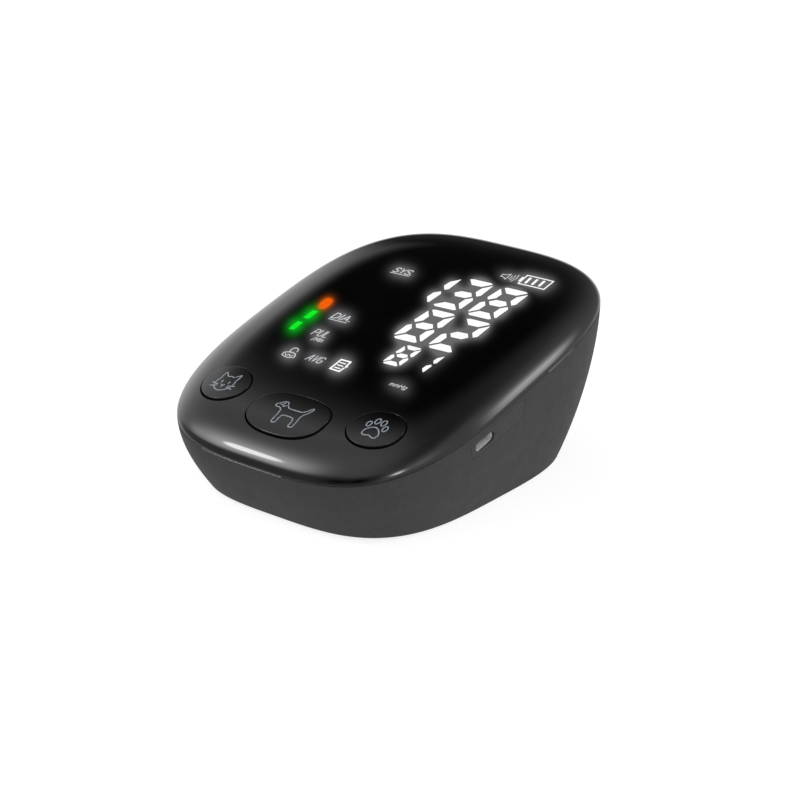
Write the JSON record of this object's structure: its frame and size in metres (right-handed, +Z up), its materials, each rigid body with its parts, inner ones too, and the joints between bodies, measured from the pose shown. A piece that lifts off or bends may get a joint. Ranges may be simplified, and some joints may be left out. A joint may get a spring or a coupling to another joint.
{
  "type": "tabletop blood pressure monitor",
  "caption": "Wedge-shaped tabletop blood pressure monitor with a domed glossy cover, lit display, push buttons, supply and air sockets, air pump and battery bay.",
  "frame": {"origin": "middle of the footprint, on the table under the rubber feet", "axes": "+Z up, -Y towards the user (the low edge with the buttons), +X towards the side with the supply socket"},
  "size_m": [0.118, 0.1418, 0.0643],
  "materials": {
    "cover_gloss": "high gloss black, clear dark window over the display",
    "button_gloss": "gloss dark grey",
    "case_matte": "fine matte texture",
    "plate_matte": "matte",
    "steel": "plated steel",
    "black_plastic": "matte moulding",
    "led_module": "lit segments behind the cover",
    "board": "solder resist",
    "flex": "polyimide film",
    "motor_can": "zinc plated can",
    "shaft_steel": "ground steel",
    "diaphragm_rubber": "moulded rubber",
    "tubing": "translucent silicone",
    "white_plastic": "natural moulding",
    "cell_jacket": "printed sleeve, plain",
    "spring_steel": "nickel plated",
    "foot_rubber": "matte rubber",
    "screw_steel": "zinc plated"
  },
  "bodies": {
    "case": {"front_cover": "cover_gloss", "rear_case": "case_matte", "port_plate": "plate_matte", "main_board": "board", "display_board": "board", "flex_cable": "flex", "controller_chip": "black_plastic", "left_switch": "black_plastic", "start_switch": "black_plastic", "right_switch": "black_plastic", "sys_digit_module": "led_module", "dia_digit_module": "led_module", "pulse_digit_module": "led_module", "level_bar_module": "led_module", "usb_shell": "steel", "usb_tongue": "black_plastic", "air_socket": "black_plastic", "air_tee": "white_plastic", "socket_tube": "tubing", "pump_tube": "tubing", "valve_tube": "tubing", "sensor_tube": "tubing", "pressure_sensor": "white_plastic", "pump_motor": "motor_can", "pump_housing": "black_plastic", "pump_diaphragm": "diaphragm_rubber", "pump_cap": "black_plastic", "valve_body": "motor_can", "speaker": "black_plastic", "battery_cell_1": "cell_jacket", "contact_spring_1": "spring_steel", "foot_1": "foot_rubber", "case_screw_1": "screw_steel", "battery_cell_2": "cell_jacket", "contact_spring_2": "spring_steel", "foot_2": "foot_rubber", "case_screw_2": "screw_steel", "battery_cell_3": "cell_jacket", "contact_spring_3": "spring_steel", "foot_3": "foot_rubber", "case_screw_3": "screw_steel", "battery_cell_4": "cell_jacket", "contact_spring_4": "spring_steel", "foot_4": "foot_rubber", "case_screw_4": "screw_steel", "contact_negative": "spring_steel", "contact_positive": "spring_steel", "bridge_contact_1": "spring_steel", "bridge_contact_2": "spring_steel", "bridge_contact_3": "spring_steel"},
    "left_key": {"left_button": "button_gloss"},
    "start_key": {"start_button": "button_gloss"},
    "right_key": {"right_button": "button_gloss"},
    "door": {"battery_door": "case_matte"},
    "rotor": {"motor_shaft": "shaft_steel"},
    "plunger": {"valve_plunger": "shaft_steel"}
  },
  "joints": [
    {"name": "left_button_press", "type": "slide", "parent": "case", "child": "left_key", "axis": [0, 0.2595, -0.9657], "range_m": [0, 0.0008], "stiffness_N_per_m": 600, "springref_m": -0.0004},
    {"name": "start_button_press", "type": "slide", "parent": "case", "child": "start_key", "axis": [0, 0.2595, -0.9657], "range_m": [0, 0.0008], "stiffness_N_per_m": 600, "springref_m": -0.0004},
    {"name": "right_button_press", "type": "slide", "parent": "case", "child": "right_key", "axis": [0, 0.2595, -0.9657], "range_m": [0, 0.0008], "stiffness_N_per_m": 600, "springref_m": -0.0004},
    {"name": "battery_door_swing", "type": "hinge", "parent": "case", "child": "door", "pos_m": [0, -0.0137, 0.00105], "axis": [-1, 0, 0], "range_deg": [0, 75]},
    {"name": "pump_spin", "type": "hinge", "parent": "case", "child": "rotor", "pos_m": [0, 0.033, 0.0347], "axis": [1, 0, 0], "continuous": true},
    {"name": "valve_close", "type": "slide", "parent": "case", "child": "plunger", "axis": [0, -1, 0], "range_m": [0, 0.0008], "stiffness_N_per_m": 150, "springref_m": -0.0004}
  ]
}
